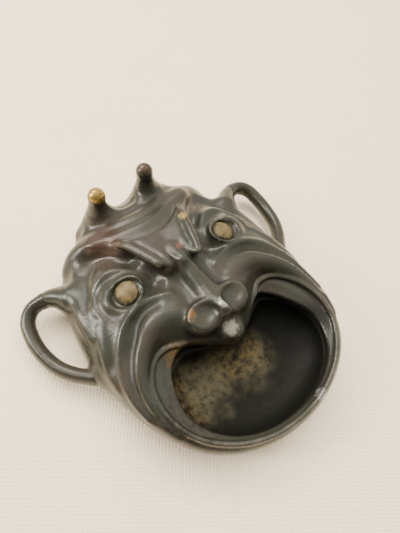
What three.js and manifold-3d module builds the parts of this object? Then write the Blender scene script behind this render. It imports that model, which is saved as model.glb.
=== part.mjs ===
// A cast bronze tray in the form of a horned mask: the open mouth is the dish, two ear loops are the
// handles, two short horns stand up from the crown and two brass studs are the eyes.
// Millimetres. +X is towards the mask's right-hand ear as it is looked at, +Y towards the crown,
// +Z up out of the face. The origin is on the table, under the middle of the whole object.
import * as THREE from 'three';
import { mergeVertices } from 'three/addons/utils/BufferGeometryUtils.js';
import Module from 'manifold-3d';

// Driving dimensions.
const HEAD_LENGTH = 118;          // crown to chin
const HEAD_WIDTH = 94.8;          // across the cheeks, without the ears
const SIDE_HEIGHT = 9;            // height of the widest line of the side wall
const DOME_RISE = 22;             // from the widest line up to the plain dome of the face
const DOME_POWER = 3.2;           // how square the dome's shoulders are
const WALL = 3;                   // thickness of the casting
const FOOT_INSET = 0.02;          // how far the side wall draws in towards its ground foot, as a share
const FIT = 0.3;                  // clearance round every piece that is let in to another
const LIP_HEIGHT = 22.5;          // crest of the lips above the table
const LIP_REACH = 9;              // how far from the lips the face is drawn down to them
const BOWL_WALL_SHARE = 0.08;     // thickness of the dish's wall, as a share of its reach
const BOWL_UNDERSIDE = 1;         // clearance between the dish and the table
const BOWL_STEP = 1.2;            // how far the dish's edge stays below the lips
const EAR_BAR_WIDTH = 5.8;        // across the loop's band, seen from above
const EAR_BAR_DEPTH = 7.2;        // the band's height off the table's plane
const EYE_RADIUS = 4;
const EYE_SHANK_RADIUS = 2.2;
const EYE_SHANK_LENGTH = 8;
const HORN_LENGTH = 15.9;         // above the crown
const STEPS_AROUND_BOWL = 60;

const wasm = await Module();
wasm.setup();

// --- outlines and lines on the face, each as the few points that shape it ---------------------------

// Right half of the head's outline, crown to chin; the left half is its mirror image.
const HALF_OUTLINE = [
  [0, HEAD_LENGTH / 2], [13, 58.3], [21, 55.6], [27.2, 51], [32.4, 45.2], [36.8, 39.4], [41, 32.5],
  [44.8, 24], [46.8, 14], [HEAD_WIDTH / 2, 4.5], [46.8, -5], [45.6, -15], [43.4, -26.5], [39.7, -37],
  [33.6, -46], [24.5, -53], [12.5, -57.6], [0, -HEAD_LENGTH / 2],
];
// Right half of the mouth's edge, from the beak of the upper lip to the chin.
const HALF_MOUTH = [
  [0, -22], [4.5, -19], [9.5, -15.6], [14.5, -12.6], [20, -10.6], [25, -11.2], [29.5, -14.8],
  [32, -20.5], [32.4, -27], [30.8, -34], [27, -41], [21.5, -46.8], [15, -51], [7.8, -53.8], [0, -54.8],
];
const MOUTH_CENTRE_Y = -36;

// Rolls and grooves that stand on the dome: a line, how wide the form is each side of it, and how high.
const RIGHT_SIDE_FORMS = [
  { name: 'brow', width: 6, rise: 4, line: [[41, 34], [38, 40], [30, 44.5], [22, 42.5], [16, 35], [13, 30]] },
  { name: 'temple', width: 7, rise: 2, line: [[40, 14], [38.5, 25], [34, 33]] },
  { name: 'eye hollow', width: 10, rise: -3, line: [[30, 14], [19, 16]] },
  { name: 'outer lid fold', width: 4, rise: 2.6, line: [[35.5, 20], [31, 26], [25, 27.5]] },
  { name: 'upper lid', width: 4, rise: 4, line: [[33, 17.5], [29, 20.5], [24, 21], [19, 19], [15.5, 14.5]] },
  { name: 'lower lid', width: 3.6, rise: 3, line: [[33, 14.5], [28.5, 9.8], [22, 8.8], [16, 11.5]] },
  { name: 'groove under the eye', width: 4, rise: -2, line: [[34, 7.5], [25, 5.5], [17, 3], [12, 1]] },
  { name: 'frown lobe', width: 4.5, rise: 3.5, line: [[12, 27], [9, 21], [5.8, 12]] },
  { name: 'nose side groove', width: 4, rise: -3, line: [[8, 10], [6.5, 2], [9, -3]] },
  { name: 'nose wing', width: 5.5, rise: 2.6, line: [[6, -7], [11, -7], [13.5, -11]] },
  { name: 'nostril', width: 4.5, rise: -3.4, line: [[6.5, -10.6], [9.5, -10]] },
  { name: 'inner cheek roll', width: 5.5, rise: 4, line: [[20, -2.5], [27, -3], [32, -7], [36.5, -14]] },
  { name: 'cheek groove', width: 4, rise: -2, line: [[28, 5], [34, 1.5], [38.5, -5], [41, -14], [40, -24]] },
  { name: 'outer cheek roll', width: 4.5, rise: 2, line: [[32, 6], [38, 3], [42.5, -6], [44, -15]] },
  { name: 'lip corner', width: 5, rise: 2, line: [[28, -9.5], [34.5, -16], [37, -25], [35, -34]] },
];
const MIDDLE_FORMS = [
  { name: 'frown plate', width: 9, rise: 3.5, line: [[-9, 25], [0, 23], [9, 25]] },
  { name: 'frown drop', width: 4, rise: 2, line: [[0, 22], [0, 12]] },
  { name: 'nose bridge', width: 6, rise: 5, line: [[0, 14], [0, 0], [0, -8]] },
  { name: 'nose tip', width: 7, rise: 2.6, line: [[0, -6], [0, -11]] },
  { name: 'forehead fold', width: 4, rise: 1.5, line: [[-14, 41], [0, 38.5], [14, 41]] },
  { name: 'crown fold', width: 4, rise: 1.5, line: [[-20, 50], [0, 47], [20, 50]] },
];

function smoothLine(points, steps, closed = false) {
  const curve = new THREE.CatmullRomCurve3(points.map(([x, y]) => new THREE.Vector3(x, y, 0)), closed);
  return curve.getPoints(steps).map((p) => [p.x, p.y]);
}

function mirrored(points) {
  return points.map(([x, y]) => [-x, y]);
}

// A closed loop from its right half, which starts and ends on the middle line.
function wholeLoop(half) {
  const left = mirrored(half).slice(1, -1).reverse();
  return [...half, ...left];
}

// How far a loop lies from a middle point, by direction: one reach for each small step of turn.
const TURN_STEPS = 720;
function reachOf(loop, centreY) {
  const line = smoothLine(loop, 2000, true);
  const reach = new Array(TURN_STEPS).fill(0);
  for (const [x, y] of line) {
    const turn = Math.atan2(y - centreY, x) / (2 * Math.PI);
    reach[Math.round((turn + 1) * TURN_STEPS) % TURN_STEPS] = Math.hypot(x, y - centreY);
  }
  return (angle) => {
    const place = ((angle / (2 * Math.PI) + 2) % 1) * TURN_STEPS;
    const before = Math.floor(place) % TURN_STEPS;
    const after = (before + 1) % TURN_STEPS;
    return reach[before] + (reach[after] - reach[before]) * (place - Math.floor(place));
  };
}

function distanceToLine(line, x, y) {
  let best = Infinity;
  for (let i = 1; i < line.length; i += 1) {
    const [ax, ay] = line[i - 1];
    const dx = line[i][0] - ax;
    const dy = line[i][1] - ay;
    const along = ((x - ax) * dx + (y - ay) * dy) / (dx * dx + dy * dy || 1);
    const t = Math.min(1, Math.max(0, along));
    best = Math.min(best, Math.hypot(x - ax - t * dx, y - ay - t * dy));
  }
  return best;
}

const headReach = reachOf(wholeLoop(HALF_OUTLINE), 0);
const mouthReach = reachOf(wholeLoop(HALF_MOUTH), MOUTH_CENTRE_Y);
const mouthLine = smoothLine(wholeLoop(HALF_MOUTH), 90, true);

const forms = [...MIDDLE_FORMS, ...RIGHT_SIDE_FORMS,
  ...RIGHT_SIDE_FORMS.map((form) => ({ ...form, line: mirrored(form.line) }))]
  .map((form) => ({ ...form, line: smoothLine(form.line, 14) }));

const hump = (t) => (t < 1 ? (1 - t * t) ** 2 : 0);

// Height of the plain dome, then of the dome drawn down to the lips, then with its rolls and grooves.
function domeHeight(x, y) {
  const share = Math.min(1, Math.hypot(x, y) / headReach(Math.atan2(y, x)));
  return SIDE_HEIGHT + DOME_RISE * Math.sqrt(1 - share ** DOME_POWER);
}

function lippedDome(x, y, lipReach) {
  const pull = hump(distanceToLine(mouthLine, x, y) / lipReach);
  const dome = domeHeight(x, y);
  return dome + (LIP_HEIGHT - dome) * pull;
}

function faceHeight(x, y) {
  let height = lippedDome(x, y, LIP_REACH);
  for (const form of forms) {
    height += form.rise * hump(distanceToLine(form.line, x, y) / form.width);
  }
  return height;
}

// --- solids -----------------------------------------------------------------------------------------

function toSolid(geometry) {
  const bare = geometry.clone();
  bare.deleteAttribute('normal');
  bare.deleteAttribute('uv');
  const merged = mergeVertices(bare, 1e-4);
  return new wasm.Manifold(new wasm.Mesh({
    numProp: 3,
    vertProperties: new Float32Array(merged.attributes.position.array),
    triVerts: new Uint32Array(merged.index.array),
  }));
}

function toGeometry(solid) {
  const mesh = solid.getMesh();
  const geometry = new THREE.BufferGeometry();
  geometry.setAttribute('position', new THREE.BufferAttribute(mesh.vertProperties, 3));
  geometry.setIndex(new THREE.BufferAttribute(mesh.triVerts, 1));
  const shaded = geometry.toNonIndexed();
  shaded.computeVertexNormals();
  return shaded;
}

// A turned blank whose every point is then moved: its radius is a share of the way out to the edge,
// and its height says which surface it lies on.
function turnedAndMoved(profile, stepsAround, move) {
  const blank = new THREE.LatheGeometry(profile.map(([r, h]) => new THREE.Vector2(r, h)), stepsAround);
  blank.rotateX(Math.PI / 2);
  const position = blank.attributes.position;
  for (let i = 0; i < position.count; i += 1) {
    const x = position.getX(i);
    const y = position.getY(i);
    const share = Math.hypot(x, y);
    const [mx, my, mz] = move(share, share < 1e-6 ? 0 : Math.atan2(y, x), position.getZ(i));
    position.setXYZ(i, mx, my, mz);
  }
  return blank;
}

// The head as a solid lump: a block with a fine square grid on its faces, its square lid rounded
// out to the head's outline and raised to the face, its sides drawn in to the ground foot.
function headLump({ cells, sideways, bottom, topAt }) {
  const block = new THREE.BoxGeometry(2, 2, 1, cells[0], cells[1], 1);
  const position = block.attributes.position;
  for (let i = 0; i < position.count; i += 1) {
    const u = position.getX(i);
    const v = position.getY(i);
    const x = u * Math.sqrt(1 - (v * v) / 2);
    const y = v * Math.sqrt(1 - (u * u) / 2);
    const share = Math.min(1, Math.hypot(x, y));
    const angle = Math.atan2(y, x);
    const atTop = position.getZ(i) > 0;
    const reach = headReach(angle) * share * (atTop ? 1 : 1 - FOOT_INSET);
    const level = atTop ? topAt(reach * Math.cos(angle), reach * Math.sin(angle)) : bottom;
    const moved = reach + sideways * share;
    position.setXYZ(i, moved * Math.cos(angle), moved * Math.sin(angle), level);
  }
  return block;
}

const FACE_CELLS = [44, 56];
const HOLLOW_CELLS = [14, 18];
const HOLLOW_TOP = LIP_HEIGHT + 1.5;
const HOLLOW_DEPTH = 5;           // from the plain dome down to the hollow, so that grooves stay closed
const HOLLOW_LIP_REACH = 16;
function headSolid(grow) {
  return toSolid(headLump({
    cells: FACE_CELLS, sideways: grow, bottom: -grow, topAt: (x, y) => faceHeight(x, y) + grow,
  }));
}
const outerLump = headSolid(0);
const hollow = toSolid(headLump({
  cells: HOLLOW_CELLS,
  sideways: -WALL,
  bottom: -5,
  topAt: (x, y) => {
    const underDome = lippedDome(x, y, HOLLOW_LIP_REACH) - HOLLOW_DEPTH;
    return Math.max(SIDE_HEIGHT, Math.min(underDome, HOLLOW_TOP));
  },
}));

// The mouth goes right through the face, a straight-sided hole.
const MOUTH_CUT = { from: -10, depth: 60 };
function mouthPrism() {
  const outline = smoothLine(wholeLoop(HALF_MOUTH), STEPS_AROUND_BOWL * 2, true).slice(0, -1);
  const shape = new THREE.Shape(outline.map(([x, y]) => new THREE.Vector2(x, y)));
  const prism = new THREE.ExtrudeGeometry(shape, { depth: MOUTH_CUT.depth, bevelEnabled: false });
  return toSolid(prism.translate(0, 0, MOUTH_CUT.from));
}

// The dish behind the lips, open at the top.
function bowlGeometry() {
  const inside = 1 - BOWL_WALL_SHARE;
  const profile = [
    [0, 0], [0.55, 0], [0.82, 0.1], [0.95, 0.3], [1, 0.62], [1, 1],
    [inside, 1.001], [inside, 0.62], [0.87, 0.34], [0.74, 0.2], [0.5, 0.13], [0.25, 0.12], [0, 0.12],
  ];
  return turnedAndMoved(profile, STEPS_AROUND_BOWL, (share, angle, level) => {
    const reach = (mouthReach(angle) - FIT) * share;
    const edge = mouthReach(angle);
    const top = faceHeight(edge * Math.cos(angle), MOUTH_CENTRE_Y + edge * Math.sin(angle)) - BOWL_STEP;
    const z = BOWL_UNDERSIDE + (top - BOWL_UNDERSIDE) * level;
    return [reach * Math.cos(angle), MOUTH_CENTRE_Y + reach * Math.sin(angle), z];
  });
}

// An ear loop: a flattened bar bent round a gap, thicker towards both ends, where it meets the head.
// A slimmer bar inside it is let in to the head's wall as its tenons.
const EAR_ROUTE = [
  [40, 31.5, 14], [44.5, 36, 12.6], [49.5, 38.2, 10.5], [54.2, 38, 9], [57.8, 34.5, 8], [59.4, 28, 7.5],
  [59.3, 20.5, 7.5], [57.3, 12.6, 8], [53.6, 6.2, 9], [49.3, 1.6, 10.2], [44.6, -2.4, 11.4], [40, -6, 12],
];
const EAR_STEPS = 32;
const EAR_FLARE = 0.5;
const TENON_SHARE = 0.62;
function earGeometry(side, { flare, thickness, grow }) {
  const section = new THREE.Shape();
  section.absellipse(0, 0, (EAR_BAR_DEPTH / 2) * thickness + grow, (EAR_BAR_WIDTH / 2) * thickness + grow,
    0, 2 * Math.PI);
  const route = new THREE.CatmullRomCurve3(EAR_ROUTE.map(([x, y, z]) => new THREE.Vector3(x, y, z)));
  const bar = new THREE.ExtrudeGeometry(section, {
    steps: EAR_STEPS, curveSegments: 6, bevelEnabled: false, extrudePath: route,
  });
  const stations = route.getSpacedPoints(EAR_STEPS);
  const position = bar.attributes.position;
  const point = new THREE.Vector3();
  for (let i = 0; i < position.count; i += 1) {
    point.fromBufferAttribute(position, i);
    const gaps = stations.map((station) => station.distanceTo(point));
    const nearest = gaps.indexOf(Math.min(...gaps));
    const fromMiddle = Math.abs(nearest / EAR_STEPS - 0.5) * 2;
    const scale = 1 + flare * Math.max(0, (fromMiddle - 0.55) / 0.45) ** 2;
    point.sub(stations[nearest]).multiplyScalar(scale).add(stations[nearest]);
    position.setXYZ(i, point.x, point.y, point.z);
  }
  return side < 0 ? mirroredGeometry(bar) : bar;
}

// A mirror image with its faces still pointing out.
function mirroredGeometry(geometry) {
  const flipped = geometry.index ? geometry.toNonIndexed() : geometry.clone();
  flipped.scale(-1, 1, 1);
  const position = flipped.attributes.position;
  const a = new THREE.Vector3();
  const c = new THREE.Vector3();
  for (let i = 0; i < position.count; i += 3) {
    a.fromBufferAttribute(position, i);
    c.fromBufferAttribute(position, i + 2);
    position.setXYZ(i, c.x, c.y, c.z);
    position.setXYZ(i + 2, a.x, a.y, a.z);
  }
  return flipped;
}

// A horn: a short tapering peg with a wide foot that fits the crown, a round tip, and a tenon below.
const HORN_X = 12;
const HORN_Y = 53.4;
const HORN_LEAN = 0.06;
const HORN_FOOT_HEIGHT = 22.5;
const HORN_OUTLINE = [
  [0, -6], [6.2, -6], [6, -3], [5.4, -0.5], [4.8, 1.5], [4.3, 4], [3.8, 7], [3.6, 10], [3.5, 12],
  [3, 14], [1.7, HORN_LENGTH - 0.5], [0, HORN_LENGTH],
];
const HORN_TENON = [[0, -9], [2.2, -9], [2.2, 2], [0, 2]];
function hornGeometry(side, outline, grow) {
  const turned = outline.map(([r, h]) => new THREE.Vector2(r > 0 ? r + grow : 0, h < 0 ? h - grow : h));
  const horn = new THREE.LatheGeometry(turned, 20);
  horn.rotateX(Math.PI / 2);
  horn.rotateY(-side * HORN_LEAN);
  return horn.translate(side * HORN_X, HORN_Y, HORN_FOOT_HEIGHT);
}

// An eye: a brass stud with a domed head and a shank that goes through the casting.
const EYE_PLACE = [23.2, 14.7, 28.4];
const EYE_TILT = 0.3;
function eyeGeometry(side, grow) {
  const outline = [[0, -EYE_SHANK_LENGTH - grow], [EYE_SHANK_RADIUS + grow, -EYE_SHANK_LENGTH - grow],
    [EYE_SHANK_RADIUS + grow, -2.6 - grow]];
  for (let step = 0; step <= 8; step += 1) {
    const turn = -0.7 + (Math.PI / 2 + 0.7) * (step / 8);
    outline.push([(EYE_RADIUS + grow) * Math.cos(turn), (EYE_RADIUS + grow) * Math.sin(turn)]);
  }
  outline[outline.length - 1][0] = 0;
  const stud = new THREE.LatheGeometry(outline.map(([r, h]) => new THREE.Vector2(r, h)), 24);
  stud.rotateX(Math.PI / 2);
  stud.rotateY(side * EYE_TILT);
  return stud.translate(side * EYE_PLACE[0], EYE_PLACE[1], EYE_PLACE[2]);
}

// --- finishes ---------------------------------------------------------------------------------------

const finishes = {
  bronze: { color: 0x3a2c20, roughness: 0.42, metalness: 0.9 },
  dish: { color: 0x2a221b, roughness: 0.55, metalness: 0.85 },
  brass: { color: 0x97875f, roughness: 0.4, metalness: 0.9 },
};

const object = new THREE.Group();
function addPiece(name, geometry, finish) {
  const mesh = new THREE.Mesh(geometry, new THREE.MeshStandardMaterial(finishes[finish]));
  mesh.name = name;
  object.add(mesh);
}

const grownHead = headSolid(FIT);
const EAR_BAR = { flare: EAR_FLARE, thickness: 1, grow: 0 };
const EAR_TENON = { flare: 0, thickness: TENON_SHARE, grow: 0 };
const EAR_MORTISE = { ...EAR_TENON, grow: FIT };

let casting = outerLump.subtract(hollow).subtract(mouthPrism());
addPiece('mouth_bowl', bowlGeometry(), 'dish');
for (const [side, name] of [[-1, 'left'], [1, 'right']]) {
  const earBar = toSolid(earGeometry(side, EAR_BAR)).subtract(grownHead);
  addPiece(`${name}_ear_loop`, toGeometry(earBar.add(toSolid(earGeometry(side, EAR_TENON)))), 'bronze');
  const hornPeg = toSolid(hornGeometry(side, HORN_OUTLINE, 0)).subtract(grownHead);
  addPiece(`${name}_horn`, toGeometry(hornPeg.add(toSolid(hornGeometry(side, HORN_TENON, 0)))), 'bronze');
  addPiece(`${name}_eye`, eyeGeometry(side, 0), 'brass');
  casting = casting.subtract(toSolid(earGeometry(side, EAR_MORTISE)))
    .subtract(toSolid(hornGeometry(side, HORN_TENON, FIT)))
    .subtract(toSolid(eyeGeometry(side, FIT)));
}
addPiece('mask_casting', toGeometry(casting), 'bronze');

export default object;
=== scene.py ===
# %% [markdown]
# # A horned mask tray in cast bronze
# The object is a small bronze dish in the form of a grotesque face. The open mouth is the dish, the
# ears are two loops that serve as handles, two stub horns stand up from the crown, and the eyes are
# brass studs. This lesson models it the way the founder's pattern was made: a lump of clay first,
# then rolls of clay laid on and grooves pressed in, and last the cuts that part it into its castings.

# %% Load the fixed model and keep its size
import bpy
import math
import numpy as np
from mathutils import Matrix, Vector


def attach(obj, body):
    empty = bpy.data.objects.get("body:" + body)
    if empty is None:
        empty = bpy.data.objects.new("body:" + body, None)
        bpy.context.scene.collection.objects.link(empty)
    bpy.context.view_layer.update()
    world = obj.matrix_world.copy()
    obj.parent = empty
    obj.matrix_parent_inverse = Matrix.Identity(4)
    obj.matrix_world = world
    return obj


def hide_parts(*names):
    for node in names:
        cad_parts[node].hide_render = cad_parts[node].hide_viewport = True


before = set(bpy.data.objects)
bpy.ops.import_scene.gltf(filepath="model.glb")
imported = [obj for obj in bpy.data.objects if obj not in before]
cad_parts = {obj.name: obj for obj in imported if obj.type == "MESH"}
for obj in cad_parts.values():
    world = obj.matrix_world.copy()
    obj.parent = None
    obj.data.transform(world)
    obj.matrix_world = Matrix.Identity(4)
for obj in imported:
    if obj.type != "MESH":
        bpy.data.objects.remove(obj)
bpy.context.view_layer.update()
MM = 0.001

# %% [markdown]
# ## The camera
# The camera stands close over the lower left of the face, so the far ear looks smaller than the near
# one. A camera's view is fixed by where it stands and by two directions: the one that points to the
# right of the picture and the one that points up in it. The third, towards the viewer, is their cross
# product, and the three together are the columns of a rotation matrix.

# %% Stand the camera
CAMERA_PLACE = Vector((-0.0483, -0.0359, 0.1661))
PICTURE_RIGHT = Vector((0.7804, -0.6157, 0.1086))
PICTURE_UP = Vector((0.5183, 0.7343, 0.4384))
LENS_MM = 27.0

camera_data = bpy.data.cameras.new("camera")
camera_data.lens = LENS_MM
camera_data.sensor_width = 36.0
camera_data.clip_start = 0.005
camera = bpy.data.objects.new("camera", camera_data)
towards_viewer = PICTURE_RIGHT.cross(PICTURE_UP).normalized()
true_up = towards_viewer.cross(PICTURE_RIGHT).normalized()
turn = Matrix((PICTURE_RIGHT.normalized(), true_up, towards_viewer)).transposed()
camera.matrix_world = Matrix.Translation(CAMERA_PLACE) @ turn.to_4x4()
bpy.context.scene.collection.objects.link(camera)
bpy.context.scene.camera = camera
print("camera stands", round(CAMERA_PLACE.length * 1000), "mm from the origin")

# %% [markdown]
# ## Clay as a field of distances
# Folds that overhang, and forms that melt into one another, are hard to model face by face. A field
# is easier: every point of a fine grid stores how far it is from the surface, negative inside. Adding
# clay is then a minimum of two fields and cutting is a maximum, and a *smooth* minimum or maximum
# leaves a fillet of a chosen size, as a thumb would.

# %% The block of clay and the two thumbs
STEP = 0.67
CLAY_LOW = np.array((-52.0, -62.0, -2.0))
CLAY_HIGH = np.array((52.0, 62.0, 44.0))
counts = np.ceil((CLAY_HIGH - CLAY_LOW) / STEP).astype(int) + 1
ticks = [CLAY_LOW[i] + STEP * np.arange(counts[i]) for i in range(3)]
GX = ticks[0][:, None, None].astype(np.float32)
GY = ticks[1][None, :, None].astype(np.float32)
GZ = ticks[2][None, None, :].astype(np.float32)


def melt(a, b, fillet):
    """Two forms joined, with a fillet between them."""
    near = np.maximum(fillet - np.abs(a - b), 0.0) / fillet
    return np.minimum(a, b) - near * near * fillet * 0.25


def pare(a, b, fillet):
    """Form a with form b cut out of it, the edge eased."""
    return -melt(-a, b, fillet)


def evened(field):
    """Rescale a field so that it measures distance near its own surface."""
    slope = np.sqrt(sum(g * g for g in np.gradient(field, STEP)))
    return (field / np.maximum(slope, 0.05)).astype(np.float32)


print("clay grid of", "x".join(str(n) for n in counts), "points")

# %% [markdown]
# ## Lines on the face
# Every roll and groove follows a smooth line through a few listed points. A Catmull-Rom
# spline passes through all of them, so the points are the design. Extra columns, such as a thickness
# or how proud the roll stands, are blended along the line in the same way.


# %% A smooth line through chosen points
def smooth_line(points, count=None, closed=False):
    points = np.array(points, float)
    if closed:
        ends = np.vstack([points[-1], points, points[0], points[1]])
        spans = len(points)
    else:
        first = 2 * points[0] - points[1]
        last = 2 * points[-1] - points[-2]
        ends = np.vstack([first, points, last])
        spans = len(points) - 1
    count = count or 6 * spans + 1
    place = np.linspace(0, spans, count)
    span = np.minimum(place.astype(int), spans - 1)
    t = (place - span)[:, None]
    a, b, c, d = (ends[span + k] for k in range(4))
    return 0.5 * (2 * b + (c - a) * t + (2 * a - 5 * b + 4 * c - d) * t**2
                  + (3 * b - a - 3 * c + d) * t**3)


def mirrored(points):
    return [(-p[0], *p[1:]) for p in points]


def whole_loop(half):
    """A closed loop from its right half, which starts and ends on the middle line."""
    return list(half) + mirrored(half)[1:-1][::-1]


# %% [markdown]
# ## The plain lump
# Before any feature there is a lump: an oval dome with square shoulders on a nearly upright side
# wall. Its outline is drawn as a half and mirrored, and so are the lip's crest, the mouth and the dish.

# %% Outline of the head and edge of the mouth
HEAD_HALF = [
    (0, 59), (13, 58.3), (21, 55.6), (27.2, 51), (32.4, 45.2), (36.8, 39.4), (41, 32.5), (44.8, 24),
    (46.8, 14), (47.4, 4.5), (46.8, -5), (45.6, -15), (43.4, -26.5), (39.7, -37), (33.6, -46), (24.5, -53),
    (12.5, -57.6), (0, -59),
]
LIP_CREST_HALF = [
    (0, -22.6), (5, -19.4), (10, -15.9), (15, -12.6), (20, -9.9), (24, -9), (28.5, -10.2), (32.2, -13.6),
    (35, -18), (36.6, -23), (37, -28), (36.2, -34), (33.6, -40), (29, -45.6), (22.5, -50.6), (14.6, -54.2),
    (7, -56), (0, -56.4),
]
MOUTH_HALF = [
    (0, -22), (5, -18.8), (10, -15.3), (15, -12.4), (19.5, -12), (23.8, -14.4), (27, -18.4), (29.6, -24),
    (31.2, -30), (30.6, -36), (28, -41.6), (23.4, -46.8), (16.6, -51), (8.4, -53.6), (0, -54.4),
]
DISH_HALF = [
    (0, -18.5), (9, -17), (16, -14.4), (22, -14.8), (26.6, -18.4), (30, -24), (31.8, -30), (31.2, -36.2),
    (28.4, -42), (23.6, -47.2), (16.6, -51.2), (8.4, -53.7), (0, -54.5),
]
DISH_CENTRE_Y = -35.0
print("outlines of", [len(half) for half in (HEAD_HALF, LIP_CREST_HALF, MOUTH_HALF, DISH_HALF)], "points")

# %% [markdown]
# Distance to an outline in the plane is worked out edge by edge, with a crossing count to tell the
# inside from the outside.


# %% Distance to an outline
def plane_distance(loop):
    """Distance from every column of the grid to a closed line, negative inside it."""
    px, py = np.meshgrid(ticks[0], ticks[1], indexing="ij")
    best = np.full(px.shape, 1e9)
    inside = np.zeros(px.shape, bool)
    for (ax, ay), (bx, by) in zip(loop[:-1], loop[1:]):
        dx, dy = bx - ax, by - ay
        t = np.clip(((px - ax) * dx + (py - ay) * dy) / max(dx * dx + dy * dy, 1e-12), 0, 1)
        best = np.minimum(best, (px - ax - t * dx) ** 2 + (py - ay - t * dy) ** 2)
        if ay != by:
            crosses = (ay > py) != (by > py)
            inside ^= crosses & (px < ax + dx * (py - ay) / dy)
    return np.where(inside, -1, 1) * np.sqrt(best)


# %% [markdown]
# Nothing modelled by hand is quite even. Here the upper lip hangs lower on the right and the right
# temple is leaner, so the loops are bent a little after they are mirrored.

# %% Bend the even outlines
LIP_SAG = 2.8
SAG_REACH = 21.0


def sagging(loop):
    """The upper lip was modelled a little lower on one side than on the other."""
    across, along = loop[:, 0], loop[:, 1]
    wave = np.sin(math.pi * np.clip(across / SAG_REACH, 0, 1))
    loop[:, 1] = np.where(along > -24, along - LIP_SAG * wave, along)
    return loop


TEMPLE_THINNER = 3.2
TEMPLE_AT = 20.0
TEMPLE_REACH = 15.0


def lean_temple(loop):
    """The temple beside the far ear is leaner than its fellow, which opens the ear's gap."""
    near = np.exp(-(((loop[:, 1] - TEMPLE_AT) / TEMPLE_REACH) ** 2)) * np.clip(loop[:, 0] / 25, 0, 1)
    loop[:, 0] -= TEMPLE_THINNER * near
    return loop


head_loop = lean_temple(smooth_line(whole_loop(HEAD_HALF), 200, closed=True))
mouth_loop = sagging(smooth_line(whole_loop(MOUTH_HALF), 200, closed=True))
dish_loop = sagging(smooth_line(whole_loop(DISH_HALF), 200, closed=True))
lip_loop = sagging(smooth_line(whole_loop(LIP_CREST_HALF), 200, closed=True))
from_mouth = plane_distance(mouth_loop)[:, :, None].astype(np.float32)
from_lip = plane_distance(lip_loop)[:, :, None].astype(np.float32)
print("mouth", round(float(np.ptp(mouth_loop[:, 0]))), "mm wide")


# %% [markdown]
# The dome is a rounded box: a share of the way out to the outline, raised to a high power, plus a share
# of the way up. Square shoulders come from the high power. The jaw is squarer than the brow. A funnel
# then draws the dome down to the height of the lips.


# %% The dome, drawn down to the lips like a funnel
def reach_of(loop, centre_y):
    """How far a closed line is from its middle, in the direction of every column."""
    angle = np.arctan2(loop[:, 1] - centre_y, loop[:, 0])
    order = np.argsort(angle)
    reach = np.hypot(loop[:, 0], loop[:, 1] - centre_y)
    bearing = np.arctan2(GY[:, :, 0] - centre_y, GX[:, :, 0])
    return np.interp(bearing, angle[order], reach[order], period=2 * math.pi)


DOME_TOP = 31.0
BROW_SHOULDER = {"height": 9.0, "power": 3.2, "foot": 0.02}
JAW_SHOULDER = {"height": 17.0, "power": 5.0, "foot": 0.06}
JAW_STARTS = -2.0
JAW_SETTLES = -26.0
LIP_HEIGHT = 22.5
FUNNEL_SLOPE = 1.25
EASE = 3.0

share = (np.hypot(GX[:, :, 0], GY[:, :, 0]) / reach_of(head_loop, 0.0))[:, :, None]
jaw = np.clip((JAW_STARTS - GY) / (JAW_STARTS - JAW_SETTLES), 0, 1)
widest, shoulder, foot_inset = (BROW_SHOULDER[key] + (JAW_SHOULDER[key] - BROW_SHOULDER[key]) * jaw
                                for key in ("height", "power", "foot"))
above = np.maximum(GZ - widest, 0) / (DOME_TOP - widest)
below = np.maximum(widest - GZ, 0) / widest
dome = evened((share / (1 - foot_inset * below)) ** shoulder + above**2 - 1)
funnel_height = LIP_HEIGHT + FUNNEL_SLOPE * np.maximum(from_lip, 0)
funnel = evened((GZ - funnel_height) / math.hypot(1, FUNNEL_SLOPE))
clay = -melt(-dome, -funnel, EASE)
print("lump volume", round(float((clay < 0).sum()) * STEP**3 / 1000), "cubic centimetres")

# %% [markdown]
# ## Laying rolls on and pressing grooves in
# A roll is a chain of balls along a line. Its place in height isn't typed in: the tool looks up how
# high the clay already is under each point and sets the roll so that it stands *proud* by the wanted
# amount. So a fold laid over another fold rides over it, as it does on the bench.


# %% Tools: window and height
def window(low, high):
    """The part of the grid that a form can touch, and its coordinates."""
    first = np.clip(np.floor((np.array(low) - CLAY_LOW) / STEP).astype(int), 0, counts - 1)
    last = np.clip(np.ceil((np.array(high) - CLAY_LOW) / STEP).astype(int) + 1, 1, counts)
    part = tuple(slice(a, b) for a, b in zip(first, last))
    return part, (GX[part[0]], GY[:, part[1]], GZ[:, :, part[2]])


def height_at(points):
    """Height of the clay's upper surface under each point, evened out along the run."""
    found = []
    for x, y in points:
        i, j = ((np.array((x, y)) - CLAY_LOW[:2]) / STEP).round().astype(int)
        column = clay[np.clip(i, 0, counts[0] - 1), np.clip(j, 0, counts[1] - 1)]
        solid = np.flatnonzero(column < 0)
        if len(solid) == 0:
            found.append(0.0)
            continue
        top = min(solid[-1], counts[2] - 2)
        part = column[top] / min(column[top] - column[top + 1], -1e-6)
        found.append(ticks[2][top] + STEP * min(max(part, 0.0), 1.0))
    padded = np.pad(found, 3, mode="edge")
    return np.convolve(padded, np.ones(7) / 7, mode="valid")


def tell_height(label, x, y):
    print(label, round(float(height_at([(x, y)])[0]), 1), "mm high")


# %% [markdown]
# The sponge averages every point with its neighbours. A stroke is a chain of round cones along a line,
# melted on or pared out.


# %% Tools: sponge and stroke
def sponge(passes):
    """Wipe the whole lump smooth, as with a damp sponge."""
    global clay
    for _ in range(passes):
        for axis in range(3):
            padded = np.pad(clay, [(1, 1) if i == axis else (0, 0) for i in range(3)], mode="edge")
            size = clay.shape[axis]
            before, here, after = (np.take(padded, range(k, k + size), axis) for k in range(3))
            clay = (before + 2 * here + after) / 4


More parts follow.
